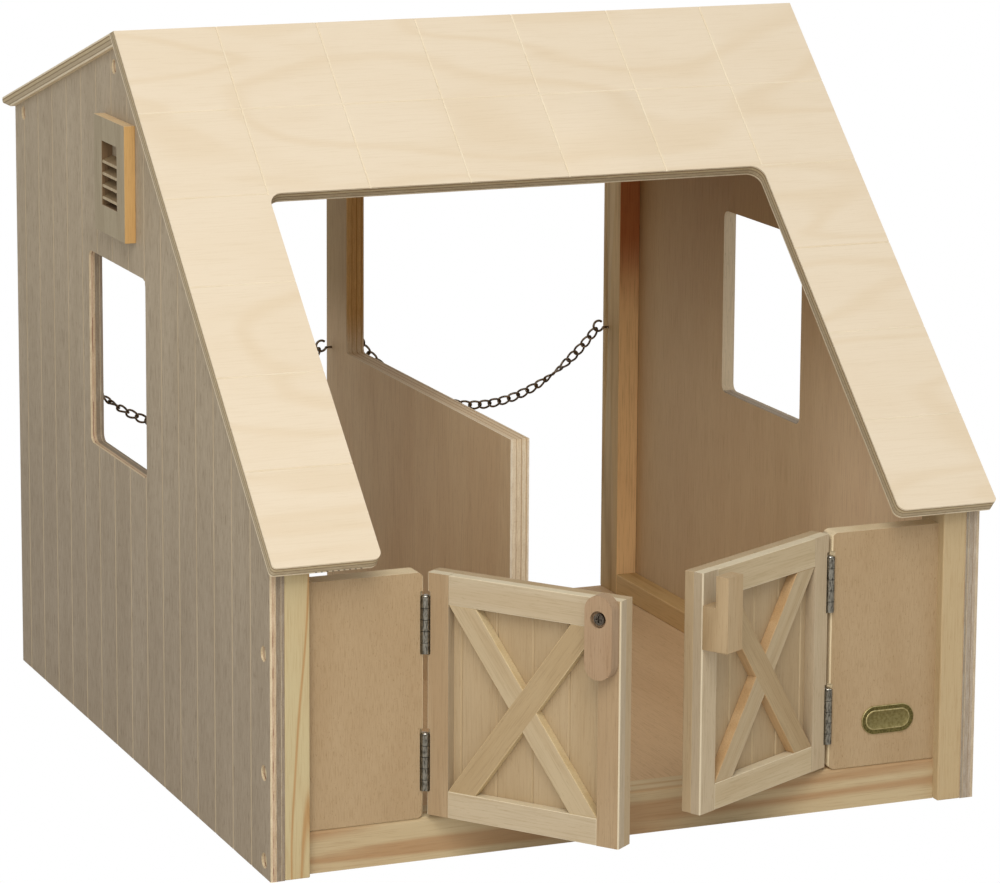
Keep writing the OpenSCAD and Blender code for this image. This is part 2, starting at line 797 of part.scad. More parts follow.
// Two pins, each with a domed head on top of its barrel
module hinge_pins() {
    head_r = knuckle_r - gap;
    for (h = hinge_heights) translate([-pin_x, pin_y, h]) {
        translate([0, 0, -hinge_l / 2 + gap]) cylinder(h = hinge_l - gap, r = pin_r);
        translate([0, 0, hinge_l / 2]) rotate_extrude() intersection() {
            square([head_r, head_r]);
            circle(head_r);
        }
    }
}

module left_hinge_pins() color("gainsboro") hinge_pins();
module right_hinge_pins() color("gainsboro") right_side() hinge_pins();

// Countersunk screws through the leaf on the face at x = door_x0
module hinge_screws() {
    for (h = hinge_heights, s = screw_steps)
        translate([door_x0 - leaf_t, hinge_screw_y, h + s]) rotate([0, 90, 0]) {
            cylinder(h = hinge_head_t, r1 = hinge_head_r, r2 = hinge_screw_r);
            cylinder(h = leaf_t + hinge_screw_l, r = hinge_screw_r);
        }
}

module panel_hinge_screws() color("silver") for (side = [0, 1]) mirror([side, 0, 0])
    translate([-pin_x, pin_y, 0]) mirror([1, 0, 0]) hinge_screws();

// ---------- doors ----------

// A door is drawn closed, the left one's hinge pin at the origin and its front
// face at y = pin_ahead, and then swung open.
module left_door() {
    translate([-pin_x, pin_y, 0]) rotate([0, 0, -left_door_open]) children();
}

module right_door() {
    right_side() translate([-pin_x, pin_y, 0]) rotate([0, 0, -right_door_open]) children();
}

// A full-height stile whose edge at x = 0 is rounded in plan
module stile_bar() {
    linear_extrude(door_h) difference() {
        square([stile_w, frame_t]);
        corner_cut(arris_r);
    }
}

module hinge_stile() {
    difference() {
        translate([door_x0, pin_ahead, door_bottom]) stile_bar();
        pilot_holes();
        barrel_notches();
    }
}

module free_stile() {
    translate([door_x1, pin_ahead, door_bottom]) mirror([1, 0, 0]) stile_bar();
}

module rail(z, h) {
    translate([frame_x0, pin_ahead, z]) cube([frame_w, frame_t, h]);
}

module top_rail() rail(panel_top - top_rail_h, top_rail_h);
module bottom_rail() rail(door_bottom, bottom_rail_h);

module back_panel() {
    difference() {
        translate([door_x0, back_y, door_bottom]) cube([door_w, back_t, door_h]);
        for (x = [board_start : board_pitch : door_w - board_pitch / 4])
            translate([door_x0 + x, back_y, door_bottom - cut]) v_groove(door_h + 2 * cut);
    }
}

// One brace runs through and the crossing one is in two halves
module braces() {
    translate([frame_x0, back_y, frame_z0]) rotate([90, 0, 0])
        linear_extrude(frame_t - brace_inset) {
            rising_brace();
            difference() {
                translate([frame_w, 0]) mirror([1, 0]) rising_brace();
                rising_brace();
            }
        }
}

module rising_brace() {
    polygon([[0, 0], [brace_end, 0], [frame_w, frame_h], [frame_w - brace_end, frame_h]]);
}

// Hole that the latch screw is driven into
module latch_hole() {
    translate([latch_x, bore_floor, latch_z]) rotate([-90, 0, 0])
        cylinder(h = latch_screw_l + fit, r = latch_screw_r + fit);
}

module left_door_hinge_stile() color("#C9B48C") left_door() hinge_stile();
module left_door_free_stile() color("#C9B48C") left_door() difference() {
    free_stile();
    latch_hole();
}
module left_door_top_rail() color("#C9B48C") left_door() top_rail();
module left_door_bottom_rail() color("#C9B48C") left_door() bottom_rail();
module left_door_back_panel() color("#CDB58C") left_door() difference() {
    back_panel();
    latch_hole();
}
module left_door_braces() color("#C2AD88") left_door() braces();
module left_upper_door_leaf() color("silver") left_door() leaf(hinge_heights[1], 1);
module left_lower_door_leaf() color("silver") left_door() leaf(hinge_heights[0], 1);
module left_door_hinge_screws() color("silver") left_door() hinge_screws();

module right_door_hinge_stile() color("#C9B48C") right_door() hinge_stile();
module right_door_free_stile() color("#C9B48C") right_door() free_stile();
module right_door_top_rail() color("#C9B48C") right_door() top_rail();
module right_door_bottom_rail() color("#C9B48C") right_door() bottom_rail();
module right_door_back_panel() color("#CDB58C") right_door() back_panel();
module right_door_braces() color("#C2AD88") right_door() braces();
module right_upper_door_leaf() color("silver") right_door() leaf(hinge_heights[1], 1);
module right_lower_door_leaf() color("silver") right_door() leaf(hinge_heights[0], 1);
module right_door_hinge_screws() color("silver") right_door() hinge_screws();

// ---------- latch ----------

// A round-ended arm that hangs from its screw
module latch_arm() color("#C2AD88") left_door() {
    r = arm_w / 2;
    difference() {
        translate([latch_x, arm_back, latch_z]) rotate([90, 0, 0]) linear_extrude(arm_t) {
            translate([0, arm_head - r]) circle(r);
            translate([0, arm_head - arm_l + r]) circle(r);
            translate([-r, arm_head - arm_l + r]) square([arm_w, arm_l - arm_w]);
        }
        translate([latch_x, arm_front - cut, latch_z]) rotate([-90, 0, 0]) {
            cylinder(h = latch_bore_d + cut, r = latch_bore_r);
            cylinder(h = arm_t + 2 * cut, r = latch_screw_r + fit);
        }
    }
}

// Pan head with a cross recess, its underside a running gap off the arm
module latch_screw() color("dimgray") left_door()
    translate([latch_x, bore_floor - gap / 2, latch_z]) rotate([-90, 0, 0]) difference() {
        union() {
            translate([0, 0, -latch_head_t]) cylinder(h = latch_head_t, r = latch_head_r);
            translate([0, 0, -fit]) cylinder(h = latch_screw_l + fit, r = latch_screw_r);
        }
        for (a = [0, 90]) rotate([0, 0, a])
            translate([-recess_l / 2, -recess_w / 2, -latch_head_t - cut])
                cube([recess_l, recess_w, recess_d + cut]);
    }

// A block on the right door with a slot that the arm drops into from above
module latch_keeper() color("#CDB58C") right_door()
    translate([door_x1 - stile_w, pin_ahead, panel_top - keeper_h]) rotate([90, 0, 90])
        linear_extrude(stile_w) mirror([1, 0]) difference() {
            square([keeper_slot + keeper_lip, keeper_h]);
            translate([-cut, keeper_floor - panel_top + keeper_h])
                square([keeper_slot + cut, keeper_h]);
            translate([keeper_slot + keeper_lip, 0]) mirror([1, 0]) corner_cut(arris_r);
        }

left_wall();
right_wall();
floor_board();
front_sill();
left_floor_rail();
right_floor_rail();
front_left_post();
front_right_post();
rear_left_post();
rear_right_post();
ridge_beam();
front_roof();
rear_roof();
stall_divider();
left_front_panel();
right_front_panel();
left_vent_frame();
left_vent_slats();
right_vent_frame();
right_vent_slats();
left_wall_screws();
right_wall_screws();
left_wall_plugs();
right_wall_plugs();
left_post_hook();
divider_left_hook();
divider_right_hook();
right_post_hook();
left_chain();
right_chain();
left_upper_panel_leaf();
left_lower_panel_leaf();
right_upper_panel_leaf();
right_lower_panel_leaf();
left_hinge_pins();
right_hinge_pins();
panel_hinge_screws();
left_door_hinge_stile();
left_door_free_stile();
left_door_top_rail();
left_door_bottom_rail();
left_door_back_panel();
left_door_braces();
left_upper_door_leaf();
left_lower_door_leaf();
left_door_hinge_screws();
latch_arm();
latch_screw();
right_door_hinge_stile();
right_door_free_stile();
right_door_top_rail();
right_door_bottom_rail();
right_door_back_panel();
right_door_braces();
right_upper_door_leaf();
right_lower_door_leaf();
right_door_hinge_screws();
latch_keeper();
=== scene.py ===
import json
import math
import random

import bmesh
import bpy
from mathutils import Matrix, Vector

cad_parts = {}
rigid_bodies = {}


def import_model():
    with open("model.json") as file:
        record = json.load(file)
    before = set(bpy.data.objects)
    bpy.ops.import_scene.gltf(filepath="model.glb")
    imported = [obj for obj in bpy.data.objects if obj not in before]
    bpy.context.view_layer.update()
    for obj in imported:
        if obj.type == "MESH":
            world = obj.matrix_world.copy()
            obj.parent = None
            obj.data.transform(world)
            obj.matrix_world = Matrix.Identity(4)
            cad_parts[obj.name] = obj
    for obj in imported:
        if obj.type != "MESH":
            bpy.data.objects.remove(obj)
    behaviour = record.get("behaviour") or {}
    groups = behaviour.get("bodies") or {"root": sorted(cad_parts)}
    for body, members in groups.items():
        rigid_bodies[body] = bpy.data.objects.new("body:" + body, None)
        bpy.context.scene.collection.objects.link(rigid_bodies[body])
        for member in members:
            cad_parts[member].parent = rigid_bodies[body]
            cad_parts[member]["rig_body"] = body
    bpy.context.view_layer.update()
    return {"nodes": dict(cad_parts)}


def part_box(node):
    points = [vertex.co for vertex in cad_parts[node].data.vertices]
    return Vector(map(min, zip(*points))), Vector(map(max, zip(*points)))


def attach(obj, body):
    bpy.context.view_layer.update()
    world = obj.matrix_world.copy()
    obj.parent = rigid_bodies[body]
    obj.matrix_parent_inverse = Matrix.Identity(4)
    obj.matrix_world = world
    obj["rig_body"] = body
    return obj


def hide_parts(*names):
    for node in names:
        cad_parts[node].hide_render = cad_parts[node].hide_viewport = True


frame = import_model()
MM = 0.001


# ---------------------------------------------------------------------------
# Camera. The photograph was taken from the front left and above the ridge,
# with a long lens from about two and a half metres away.
# ---------------------------------------------------------------------------
PHOTO_WIDTH = 1000
PHOTO_HEIGHT = 883
CAMERA_PLACE = Vector((-893.7, -2204.2, 694.7)) * MM
CAMERA_YAW, CAMERA_PITCH, CAMERA_ROLL = (math.radians(a) for a in (22.26, 9.96, 0.31))
FOCAL_PIXELS = 4172.5
OPTICAL_CENTRE = (487.5, 262.4)
SENSOR = 36

lens = bpy.data.cameras.new("camera")
lens.sensor_width = SENSOR
lens.lens = FOCAL_PIXELS * SENSOR / PHOTO_WIDTH
lens.shift_x = (PHOTO_WIDTH / 2 - OPTICAL_CENTRE[0]) / PHOTO_WIDTH
lens.shift_y = (OPTICAL_CENTRE[1] - PHOTO_HEIGHT / 2) / PHOTO_WIDTH
lens.clip_start, lens.clip_end = 0.05, 50
camera = bpy.data.objects.new("camera", lens)
camera.matrix_world = (Matrix.Translation(CAMERA_PLACE) @ Matrix.Rotation(-CAMERA_YAW, 4, "Z")
                       @ Matrix.Rotation(math.pi / 2 - CAMERA_PITCH, 4, "X")
                       @ Matrix.Rotation(CAMERA_ROLL, 4, "Z"))
bpy.context.scene.collection.objects.link(camera)
bpy.context.scene.camera = camera


# ---------------------------------------------------------------------------
# Studio. A seamless white sweep, one large soft lamp high at the front left, a
# smaller one lower and further left, and an even pale room.
# ---------------------------------------------------------------------------
def shade(code):
    """Linear RGBA of an sRGB hex colour."""
    parts = [int(code[i:i + 2], 16) / 255 for i in (1, 3, 5)]
    return [c / 12.92 if c <= 0.04045 else ((c + 0.055) / 1.055) ** 2.4 for c in parts] + [1]


def add(tree, kind, links=None, **settings):
    """Adds a node, with its settings, and with its inputs as values or as sockets to link."""
    node = tree.nodes.new(kind)
    for name, value in settings.items():
        setattr(node, name, value)
    for key, value in (links or {}).items():
        if isinstance(value, bpy.types.NodeSocket):
            tree.links.new(value, node.inputs[key])
        else:
            node.inputs[key].default_value = value
    return node


def new_material(name):
    material = bpy.data.materials.new(name)
    material.use_nodes = True
    material.node_tree.nodes.clear()
    return material, material.node_tree


FLOOR_HALF = 3
FLOOR_WHITE = 0.86
ROOM_LIGHT = 0.5

bpy.context.scene.view_settings.view_transform = "Standard"
world = bpy.data.worlds.new("pale room")
bpy.context.scene.world = world
world.use_nodes = True
room = world.node_tree
room.nodes.clear()
rays = add(room, "ShaderNodeLightPath")
seen = add(room, "ShaderNodeMath", {0: rays.outputs["Is Camera Ray"], 1: rays.outputs["Is Glossy Ray"]},
           operation="MAXIMUM")
even = add(room, "ShaderNodeBackground", {"Color": shade("#FBF8F2"), "Strength": ROOM_LIGHT})
white = add(room, "ShaderNodeBackground", {"Color": (1, 1, 1, 1), "Strength": 1})
both = add(room, "ShaderNodeMixShader", {0: seen.outputs[0], 1: even.outputs[0], 2: white.outputs[0]})
add(room, "ShaderNodeOutputWorld", {"Surface": both.outputs[0]})

paper, tree = new_material("matt_white_sweep")
rays = add(tree, "ShaderNodeLightPath")
matt = add(tree, "ShaderNodeBsdfDiffuse", {"Color": (FLOOR_WHITE,) * 3 + (1,)})
glow = add(tree, "ShaderNodeEmission", {"Color": (1, 1, 1, 1), "Strength": 1})
mixed = add(tree, "ShaderNodeMixShader", {
    0: rays.outputs["Is Camera Ray"], 1: matt.outputs[0], 2: glow.outputs[0]})
add(tree, "ShaderNodeOutputMaterial", {"Surface": mixed.outputs[0]})

sweep_mesh = bpy.data.meshes.new("studio_floor")
corners = [(-1, -1), (1, -1), (1, 1), (-1, 1)]
sweep_mesh.from_pydata([(x * FLOOR_HALF, y * FLOOR_HALF, 0) for x, y in corners], [], [(0, 1, 2, 3)])
sweep_mesh.materials.append(paper)
sweep = bpy.data.objects.new("studio_floor", sweep_mesh)
bpy.context.scene.collection.objects.link(sweep)


def soft_lamp(name, place, size, watts):
    """A square lamp that faces the middle of the barn."""
    lamp = bpy.data.lights.new(name, "AREA")
    lamp.size, lamp.energy = size, watts
    lamp.color = shade("#FFF9F0")[:3]
    holder = bpy.data.objects.new(name, lamp)
    holder.location = place
    aim = Vector((0, 0, 0.2)) - Vector(place)
    holder.rotation_euler = aim.to_track_quat("-Z", "Y").to_euler()
    bpy.context.scene.collection.objects.link(holder)


soft_lamp("key_lamp", (-0.8, -1.9, 2.3), 1.5, 38)
soft_lamp("low_lamp", (-1.5, -2.1, 1.0), 1.4, 14)


# ---------------------------------------------------------------------------
# Side walls. Birch-faced plywood, 8 mm thick, with V-grooves milled outside
# as siding, a window, and edges eased with a sanding block.
# ---------------------------------------------------------------------------
WALL_THICK, WALL_OUT = 8, 207
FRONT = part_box("left_wall")[0].y / MM
UP = Vector((0, 0, 1))
FLAT = 0.95
SHARP_ANGLE = math.radians(40)
RNG = random.Random(7)


class Place:
    """Where a material's own millimetres start and how they turn: x along the grain, z out of the face."""

    def __init__(self, origin, grain, face):
        x, z = Vector(grain).normalized(), Vector(face).normalized()
        self.turn = Matrix((x, z.cross(x), z)).transposed()
        self.origin = Vector(origin) * MM

    def shifted(self):
        """The same place, slid along the face so that no two boards share a figure."""
        slide = self.turn @ Vector((RNG.uniform(-900, 900), RNG.uniform(-900, 900), 0)) * MM
        twin = Place.__new__(Place)
        twin.turn, twin.origin = self.turn, self.origin + slide
        return twin

    def node(self, tree):
        """Position in millimetres in this place's own axes."""
        where = add(tree, "ShaderNodeTexCoord")
        return add(tree, "ShaderNodeMapping", {
            "Vector": where.outputs["Object"], "Location": self.origin,
            "Rotation": self.turn.to_euler(), "Scale": (MM, MM, MM)}, vector_type="TEXTURE").outputs[0]


def stretched(tree, vector, along, across, through=None):
    """The position divided by the lengths, in millimetres, of one speck of a pattern."""
    lengths = (1 / along, 1 / across, 1 / (through or across))
    return add(tree, "ShaderNodeVectorMath", {0: vector, 1: lengths}, operation="MULTIPLY").outputs[0]


def noise(tree, vector, detail=2, rough=0.5, distort=0):
    return add(tree, "ShaderNodeTexNoise", {"Vector": vector, "Scale": 1, "Detail": detail,
               "Roughness": rough, "Distortion": distort}).outputs["Fac"]


def band(tree, value, low, high):
    """Smoothly 0 below low and 1 above high."""
    return add(tree, "ShaderNodeMapRange", {"Value": value, "From Min": low, "From Max": high},
               interpolation_type="SMOOTHSTEP").outputs[0]


def times(tree, a, b, operation="MULTIPLY"):
    return add(tree, "ShaderNodeMath", {0: a, 1: b}, operation=operation).outputs[0]


def tint(tree, amount, under, over, blend="MIX"):
    """Lays one colour over another, where amount is 1."""
    mix = add(tree, "ShaderNodeMix", data_type="RGBA", blend_type=blend)
    for socket, value in ((0, amount), (6, under), (7, over)):
        if isinstance(value, bpy.types.NodeSocket):
            tree.links.new(value, mix.inputs[socket])
        else:
            mix.inputs[socket].default_value = value
    return mix.outputs[2]


def sanded_wood(name, place, tones, *, rings=9, ring_along=420, ring_across=55, ring_from=0.25,
                figure=0.5, fibre=0.35, specks=0.3, cloud=0.35, speck_long=5, speck_wide=0.45,
                hair_long=22, hair_wide=0.7, rough=0.62, painted_shade=()):
    """Sanded bare wood. Contours of a smooth noise, stretched along the grain, give the figure of
    the year rings, thin fibres run along it, and open pores show as short dark dashes. Each step
    of painted shade is an axis, where the darker tone starts, where it is full, and that tone; it
    stands in for shade where the light falls off, not for a change in the wood."""
    material, tree = new_material(name)
    pale, late, pore = (shade(tone) for tone in tones)
    at = place.shifted().node(tree)
    hills = noise(tree, stretched(tree, at, ring_along, ring_across), 1.6, 0.45, 0.4)
    ring = add(tree, "ShaderNodeMath", {0: times(tree, hills, rings), 1: 1}, operation="PINGPONG").outputs[0]
    ring = band(tree, ring, ring_from, 0.98)
    mist = noise(tree, stretched(tree, at, 70, 28), 2, 0.5)
    hair = noise(tree, stretched(tree, at, hair_long, hair_wide), 3, 0.6)
    dash = noise(tree, stretched(tree, at, speck_long, speck_wide), 2, 0.5)
    colour = tint(tree, times(tree, ring, figure), pale, late)
    colour = tint(tree, times(tree, band(tree, mist, 0.35, 0.75), cloud), colour, late)
    colour = tint(tree, times(tree, band(tree, hair, 0.45, 0.75), fibre), colour, pore)
    colour = tint(tree, times(tree, band(tree, dash, 0.62, 0.74), specks), colour, pore)
    for step in painted_shade:
        colour = paint_shade_beyond(tree, place.node(tree), colour, *step)
    relief = add(tree, "ShaderNodeBump", {"Strength": 0.35, "Distance": 0.12 * MM, "Height": hair})
    gloss = add(tree, "ShaderNodeMapRange", {"Value": hair, "To Min": rough - 0.06, "To Max": rough + 0.08})
    skin = add(tree, "ShaderNodeBsdfPrincipled", {"Base Color": colour, "Roughness": gloss.outputs[0],
               "Normal": relief.outputs[0], "IOR": 1.45, "Specular IOR Level": 0.35})
    add(tree, "ShaderNodeOutputMaterial", {"Surface": skin.outputs[0]})
    return material


def paint_shade_beyond(tree, at, colour, axis, low, high, tone):
    """Painted shade that takes over along an axis: the colour is multiplied by the tone beyond high."""
    along = add(tree, "ShaderNodeSeparateXYZ", {0: at}).outputs[axis]
    return tint(tree, band(tree, along, low, high), colour, tint(tree, 1, colour, shade(tone), "MULTIPLY"))


def layered(tree, value, layers, soft=0.012):
    """One flat colour per layer over a value from 0 to 1; each layer is its far side and its colour."""
    ramp = add(tree, "ShaderNodeValToRGB", {"Fac": value})
    stops = ramp.color_ramp.elements
    near = 0
    for number, (far, colour) in enumerate(layers):
        first = stops[0] if number == 0 else stops.new(near + soft)
        last = stops.new(max(far - soft, near + soft))
        first.color = last.color = shade(colour)
        near = far
    stops.remove(stops[-1])
    return ramp.outputs[0]


def ply_edge(name, place, layers, *, sway=0.5, grit=0.35, crack=None, torn=None, painted_shade=()):
    """The sawn edge of plywood. The layers are listed from the inner face outwards, each with its far
    side in millimetres and its colour. They wander a little, and cut fibres show as coarse specks.
    crack is the height of an open glue line; torn is where splintering starts, ends and reaches.
    Each step of painted shade is an axis, where the darker tone starts, where it is full, and that tone."""
    material, tree = new_material(name)
    thick = layers[-1][0]
    at = place.node(tree)
    axes = add(tree, "ShaderNodeSeparateXYZ", {0: at})
    drift = times(tree, noise(tree, stretched(tree, at, 9, 9, 9), 3), sway)
    level = times(tree, axes.outputs[2], times(tree, drift, -sway / 2, "ADD"), "ADD")
    colour = layered(tree, times(tree, level, 1 / thick), [(far / thick, tone) for far, tone in layers])
    coarse = noise(tree, stretched(tree, at, 1.1, 1.1, 0.5), 3, 0.65)
    fine = noise(tree, stretched(tree, at, 9, 0.6, 0.6), 2)
    grain = times(tree, band(tree, coarse, 0.45, 0.75), band(tree, fine, 0.3, 0.6), "ADD")
    grain = times(tree, grain, grit / 2)
    colour = tint(tree, grain, colour, tint(tree, 1, colour, shade("#B59C80"), "MULTIPLY"))
    if crack:
        line = add(tree, "ShaderNodeMath", {0: level, 1: crack, 2: 0.22}, operation="COMPARE").outputs[0]
        runs = band(tree, noise(tree, stretched(tree, at, 17, 2), 3), 0.5, 0.56)
        colour = tint(tree, times(tree, times(tree, line, runs), 0.75), colour, shade("#6E3A26"))
    if torn:
        low, high, reach = torn
        comb = times(tree, times(tree, axes.outputs[0], times(tree, axes.outputs[2], 0.5), "ADD"), 1 / 3.1)
        comb = add(tree, "ShaderNodeMath", {0: comb, 1: 0.5}, operation="PINGPONG").outputs[0]
        along = times(tree, band(tree, axes.outputs[0], low, low + 1),
                      band(tree, axes.outputs[0], high, high - 1))
        spots = times(tree, times(tree, band(tree, comb, 0.28, 0.36), along),
                      band(tree, times(tree, axes.outputs[2], coarse, "ADD"), reach + 1, reach))
        colour = tint(tree, times(tree, spots, 0.9), colour, shade("#3C2A1E"))
    for step in painted_shade:
        colour = paint_shade_beyond(tree, at, colour, *step)
    relief = add(tree, "ShaderNodeBump", {"Strength": 0.5, "Distance": 0.2 * MM, "Height": coarse})
    skin = add(tree, "ShaderNodeBsdfPrincipled", {"Base Color": colour, "Roughness": 0.75,
               "Normal": relief.outputs[0], "IOR": 1.45, "Specular IOR Level": 0.25})
    add(tree, "ShaderNodeOutputMaterial", {"Surface": skin.outputs[0]})
    return material


def welded(node):
    """A node's mesh with the corners of its faces joined."""
    shell = bmesh.new()
    shell.from_mesh(frame["nodes"][node].data)
    bmesh.ops.remove_doubles(shell, verts=shell.verts, dist=0.002 * MM)
    return shell


def solids(shell):
    """The vertices of each separate solid, one list per solid."""
    left, groups = set(shell.verts), []
    while left:
        group = [left.pop()]
        for vert in group:
            for edge in vert.link_edges:
                other = edge.other_vert(vert)
                if other in left:
                    left.discard(other)
                    group.append(other)
        groups.append(group)
    return groups


def stand_in(mesh, node, name, materials):
    """Puts a mesh in the scene in the place of a node; it rides on the node's body."""
    piece = bpy.data.objects.new(name, mesh)
    bpy.context.scene.collection.objects.link(piece)
    for material in materials:
        mesh.materials.append(material)
    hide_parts(node)
    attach(piece, frame["nodes"][node]["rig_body"])
    return piece


def eased_copy(node, materials, choose, edge=0.5, shortest=4.0, segments=2, cuts=()):
    """A copy of a wooden node as one clean skin, its long sharp outer edges rounded as a sanding
    block leaves them, and its faces split along each cut, a point and a normal. Each face gets the
    material whose number choose returns for its normal, its middle and whether it is rounded."""
    shell = welded(node)
    bmesh.ops.dissolve_limit(shell, angle_limit=math.radians(0.5), verts=shell.verts, edges=shell.edges)
    for face in shell.faces:
        face.material_index = 0
    sharp = [e for e in shell.edges if len(e.link_faces) == 2 and e.is_convex
             and e.calc_length() > shortest * MM and e.calc_face_angle() > SHARP_ANGLE]
    worn = bmesh.ops.bevel(shell, geom=sharp, offset=edge * MM, segments=segments, profile=0.5,
                           affect="EDGES", clamp_overlap=True, harden_normals=False)
    for face in worn["faces"]:
        face.material_index = 1
    for point, across in cuts:
        bmesh.ops.bisect_plane(shell, geom=[*shell.verts, *shell.edges, *shell.faces], plane_co=point,
                               plane_no=across, dist=0.001 * MM)
    bmesh.ops.recalc_face_normals(shell, faces=shell.faces)
    for face in shell.faces:
        face.material_index = choose(face.normal, face.calc_center_median() / MM, face.material_index == 1)
    mesh = bpy.data.meshes.new(node + "_board")
    shell.to_mesh(mesh)
    shell.free()
    return stand_in(mesh, node, node + "_board", materials)


def by_facing(out, arris=None):
    """0 on the outer face, 1 on the inner face, 2 on a sawn edge, 3 on a groove's flank or an arris."""
    def choose(normal, middle, eased):
        facing = normal.dot(out)
        if abs(facing) > FLAT:
            return 0 if facing > 0 else 1
        return (3 if arris is None else arris) if facing > 0.3 else 2
    return choose


WALL_LAYERS = ((1.6, "#9A8F80"), (2.0, "#C2B59E"), (4.6, "#968B7B"), (5.9, "#CEBBA0"), (6.8, "#CDB59D"),
               (8.0, "#E2D5B8"))
RIGHT_LAYERS = ((1.4, "#A39A8C"), (1.8, "#C8BAA2"), (4.3, "#B2A89A"), (4.7, "#9E8E7A"), (6.4, "#BEB3A4"),
                (8.0, "#CCBFA8"))
for side, name, layers in ((-1, "left_wall", WALL_LAYERS), (1, "right_wall", RIGHT_LAYERS)):
    out = Vector((side, 0, 0))
    place = Place((side * (WALL_OUT - WALL_THICK), FRONT, 0), UP, out)
    # The outer face darkens from 330 mm down to full at 60 mm: painted shade, its foot lit less than its top.
    outside = sanded_wood("birch_siding_" + name, place, ("#B3A58F", "#A3947D", "#6E5F48"), figure=0.3,
                          rings=6, ring_across=40, fibre=0.8, specks=0.9, cloud=0.4, hair_long=14,
                          hair_wide=0.5, painted_shade=((0, 330, 60, "#E9E8EA"),))
    # The inner face darkens from 150 to 330 mm up and from 90 to 230 mm back from the front: painted shade
    # under the roof.
    inside = sanded_wood("birch_inner_" + name, place, ("#F8E2C0", "#EED4B2", "#C4A486"), figure=0.35,
                         rings=5, ring_across=26, fibre=0.45, specks=0.4, cloud=0.45,
                         painted_shade=((0, 150, 330, "#CFBB98"), (1, -90 * side, -230 * side, "#CEC8BD")))
    reveal = sanded_wood("pale_reveal_" + name, place, ("#D0C0A5", "#C0AF94", "#94866C"), fibre=0.4,
                         specks=0.6)
    sawn = ply_edge("sawn_plies_" + name, place, layers, crack=6.3 if side < 0 else None, grit=0.7)
    fresh = sanded_wood("milled_groove_" + name, place, ("#B3A58E", "#A6977C", "#8A7A62"), figure=0.2,
                        fibre=0.3, specks=0.15)
    side_of = by_facing(out)

    def with_reveal(normal, middle, eased, side_of=side_of):
        number = side_of(normal, middle, eased)
        return 4 if number == 2 and normal.y < -0.5 and middle.y - FRONT > WALL_THICK else number

    eased_copy(name, (outside, inside, sawn, fresh, reveal), with_reveal if side > 0 else side_of)


# ---------------------------------------------------------------------------
# Roof. Two boards of the same plywood with a paler face veneer, its grain
# across the barn, scored in rows and columns as shingles.
# ---------------------------------------------------------------------------
ROOF_THICK, RIDGE_Y, RIDGE_Z = 8, 252, 418
FRONT_PITCH, REAR_PITCH = math.radians(42.8), math.radians(16.1)
RIDGE = (0, FRONT + RIDGE_Y, RIDGE_Z)
ROOF_LAYERS = ((1.2, "#E2D8C0"), (1.8, "#94866E"), (3.9, "#BDB096"), (4.5, "#8C7C62"), (6.2, "#C6B899"),
               (6.9, "#8E7858"), (8.0, "#E8DEC6"))

for name, outward in (("front_roof", Vector((0, -math.sin(FRONT_PITCH), math.cos(FRONT_PITCH)))),
                      ("rear_roof", Vector((0, math.sin(REAR_PITCH), math.cos(REAR_PITCH))))):
    bottom = Vector(RIDGE) - outward * ROOF_THICK
    place = Place(bottom, (1, 0, 0), outward)
    # The veneer darkens from 120 to 300 mm along the board's own y axis from the ridge, which is down the
    # rear slope: painted shade.
    veneer = sanded_wood("pale_veneer_" + name, place, ("#E4D7C2", "#D9C6A8", "#C6B28F"), figure=0.34,
                         rings=13, ring_along=280, ring_across=70, fibre=0.16, specks=0.12, cloud=0.2,
                         speck_long=3, ring_from=0.5, painted_shade=((1, 120, 300, "#F5F2F2"),))
    inside = sanded_wood("inner_veneer_" + name, place, ("#D8C6A6", "#C8B08C", "#A68E6C"), figure=0.4,
                         rings=8, ring_along=300, ring_across=60)
    torn = (-187, -158, 0.9) if name == "front_roof" else None
    sawn = ply_edge("sawn_plies_" + name, place, ROOF_LAYERS, grit=0.6, torn=torn)
    scored = sanded_wood("scored_line_" + name, place, ("#E8DECB", "#DDCDB0", "#C9B692"), figure=0.2,
                         fibre=0.3, specks=0.1)
    eased_copy(name, (veneer, inside, sawn, scored), by_facing(outward))


# ---------------------------------------------------------------------------
# Divider and fixed front panels. Sanded plywood, 11.5 mm and 12 mm thick, with
# the plies open to view on the divider's top and front edges.
# ---------------------------------------------------------------------------
DIVIDER_THICK = 11.5
divider_place = Place((DIVIDER_THICK / 2, FRONT, 0), UP, (-1, 0, 0))
# The face darkens above 185 to 240 mm and slightly from 40 to 150 mm back from the front, and the edge
# darkens to red-brown above 178 to 215 mm: painted shade under the roof.
divider_skin = sanded_wood("divider_plywood", divider_place, ("#F2DDBC", "#E4C8A4", "#BC9A74"), figure=0.3,
                           rings=7, ring_across=60, fibre=0.4, specks=0.45,
                           painted_shade=((0, 185, 240, "#CBC3AE"), (1, 40, 150, "#ECE8E0")))
divider_edge = ply_edge("divider_plies", divider_place, (
    (1.2, "#F8F0DE"), (2.0, "#D8BF9C"), (4.4, "#F2E6CE"), (5.0, "#CDB08C"), (7.6, "#F0E2C8"),
    (8.1, "#D2B896"), (10.3, "#F4E8D0"), (DIVIDER_THICK, "#F8F0DE")), grit=0.5,
    painted_shade=((0, 178, 215, "#DFC190"),))
eased_copy("stall_divider", (divider_skin, divider_skin, divider_edge, divider_skin),
           by_facing(Vector((-1, 0, 0)), 2))
